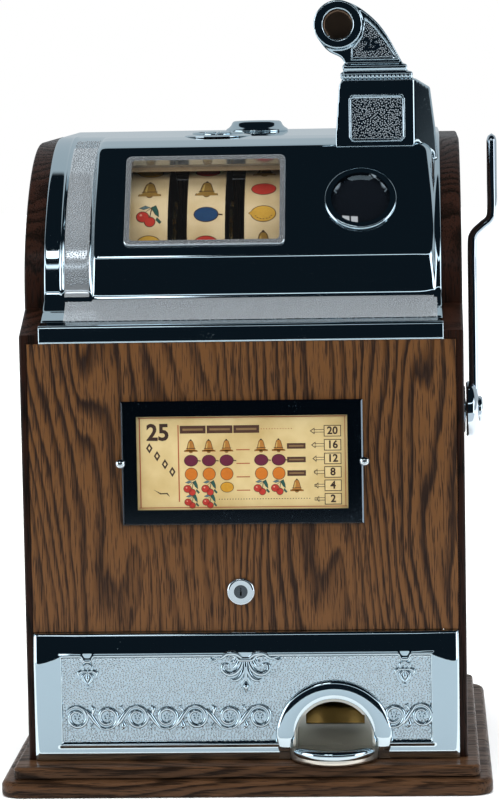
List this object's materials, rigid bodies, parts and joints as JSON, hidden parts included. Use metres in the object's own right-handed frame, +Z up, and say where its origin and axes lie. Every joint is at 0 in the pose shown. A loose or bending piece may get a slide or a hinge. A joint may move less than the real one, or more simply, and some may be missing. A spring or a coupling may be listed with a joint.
{
  "type": "slot machine",
  "caption": "Counter-top mechanical slot machine with oak case, chromed castings, three reels behind a sloping window, side lever, coin head, award card and payout cup.",
  "frame": {"origin": "centre of the plinth's underside, on the surface it stands on", "axes": "+Z up, the front with reels and award card faces -Y, the lever is on +X"},
  "size_m": [0.4067, 0.41, 0.6324],
  "materials": {
    "oak": "varnished quarter-sawn oak",
    "stained_oak": "dark stained and varnished",
    "case_wood": "plain, lightly varnished",
    "chrome": "polished chromium plate on cast metal",
    "black_nickel": "polished dark plate",
    "card": "printed card",
    "reel_paper": "printed paper strip",
    "clear_glass": "clear, polished",
    "drum": "spun, satin",
    "steel": "bright mild steel",
    "plated_screw": "nickel plate",
    "iron": "as cast, painted grey",
    "brass": "drawn, aged"
  },
  "bodies": {
    "cabinet": {"award_card": "card", "award_frame": "black_nickel", "award_screws": "plated_screw", "base_plinth": "stained_oak", "cash_box": "steel", "casting_screws": "steel", "coin_chute": "steel", "coin_head": "chrome", "coin_tube": "brass", "coin_window_lens": "clear_glass", "coin_window_ring": "chrome", "crest_ornament": "chrome", "door_keeper": "steel", "frame_tie_rods": "steel", "frame_upright_left": "iron", "frame_upright_right": "iron", "front_lock_barrel": "plated_screw", "front_panel": "oak", "hinge_leaves_fixed": "brass", "hinge_pins": "steel", "lever_bushing": "chrome", "lower_casting": "chrome", "mech_base": "iron", "payout_chute": "steel", "payout_cup": "chrome", "rear_rails": "case_wood", "reel_shaft": "steel", "return_spring": "steel", "shelf_cleats": "case_wood", "side_board_left": "stained_oak", "side_board_right": "stained_oak", "stop_lever_rod": "steel", "top_cap": "chrome", "upper_casting": "chrome", "window_bezel": "chrome", "window_glass": "clear_glass"},
    "lever": {"lever_arm": "chrome", "lever_shaft": "steel", "lever_nut": "chrome", "drive_crank": "iron"},
    "reel_left": {"reel_drum_left": "drum", "reel_strip_left": "reel_paper", "index_wheel_left": "steel"},
    "reel_middle": {"reel_drum_middle": "drum", "reel_strip_middle": "reel_paper", "index_wheel_middle": "steel"},
    "reel_right": {"reel_drum_right": "drum", "reel_strip_right": "reel_paper", "index_wheel_right": "steel"},
    "stop_left": {"stop_lever_left": "steel"},
    "stop_middle": {"stop_lever_middle": "steel"},
    "stop_right": {"stop_lever_right": "steel"},
    "front_lock": {"front_lock_plug": "brass", "front_lock_cam": "steel"},
    "back_door": {"back_door": "case_wood", "hinge_leaves_moving": "brass", "door_lock_barrel": "plated_screw"},
    "door_lock": {"door_lock_plug": "brass"},
    "payout_slide": {"payout_slide": "steel"}
  },
  "joints": [
    {"name": "lever_pull", "type": "hinge", "parent": "cabinet", "child": "lever", "pos_m": [0.187, -0.023, 0.29], "axis": [1, 0, 0], "range_deg": [0, 70], "stiffness_Nm_per_rad": 3, "springref_deg": -22.92},
    {"name": "reel_left_spin", "type": "hinge", "parent": "cabinet", "child": "reel_left", "pos_m": [-0.0775, -0.01473, 0.41618], "axis": [1, 0, 0], "continuous": true},
    {"name": "reel_middle_spin", "type": "hinge", "parent": "cabinet", "child": "reel_middle", "pos_m": [-0.0305, -0.01473, 0.41618], "axis": [1, 0, 0], "continuous": true},
    {"name": "reel_right_spin", "type": "hinge", "parent": "cabinet", "child": "reel_right", "pos_m": [0.0165, -0.01473, 0.41618], "axis": [1, 0, 0], "continuous": true},
    {"name": "stop_left_swing", "type": "hinge", "parent": "cabinet", "child": "stop_left", "pos_m": [-0.059, 0.03727, 0.33618], "axis": [1, 0, 0], "range_deg": [0, 6], "stiffness_Nm_per_rad": 0.05, "springref_deg": -17.19},
    {"name": "stop_middle_swing", "type": "hinge", "parent": "cabinet", "child": "stop_middle", "pos_m": [-0.012, 0.03727, 0.33618], "axis": [1, 0, 0], "range_deg": [0, 6], "stiffness_Nm_per_rad": 0.05, "springref_deg": -17.19},
    {"name": "stop_right_swing", "type": "hinge", "parent": "cabinet", "child": "stop_right", "pos_m": [0.035, 0.03727, 0.33618], "axis": [1, 0, 0], "range_deg": [0, 6], "stiffness_Nm_per_rad": 0.05, "springref_deg": -17.19},
    {"name": "front_lock_turn", "type": "hinge", "parent": "cabinet", "child": "front_lock", "pos_m": [-0.003, -0.153, 0.1602], "axis": [0, 1, 0], "range_deg": [0, 90]},
    {"name": "back_door_swing", "type": "hinge", "parent": "cabinet", "child": "back_door", "pos_m": [-0.1616, 0.192, 0.26], "axis": [0, 0, 1], "range_deg": [0, 110]},
    {"name": "door_lock_turn", "type": "hinge", "parent": "back_door", "child": "door_lock", "pos_m": [0.138, 0.182, 0.262], "axis": [0, 1, 0], "range_deg": [0, 90]},
    {"name": "payout_push", "type": "slide", "parent": "cabinet", "child": "payout_slide", "axis": [0, -1, 0], "range_m": [0, 0.028], "stiffness_N_per_m": 40, "springref_m": -0.02}
  ]
}
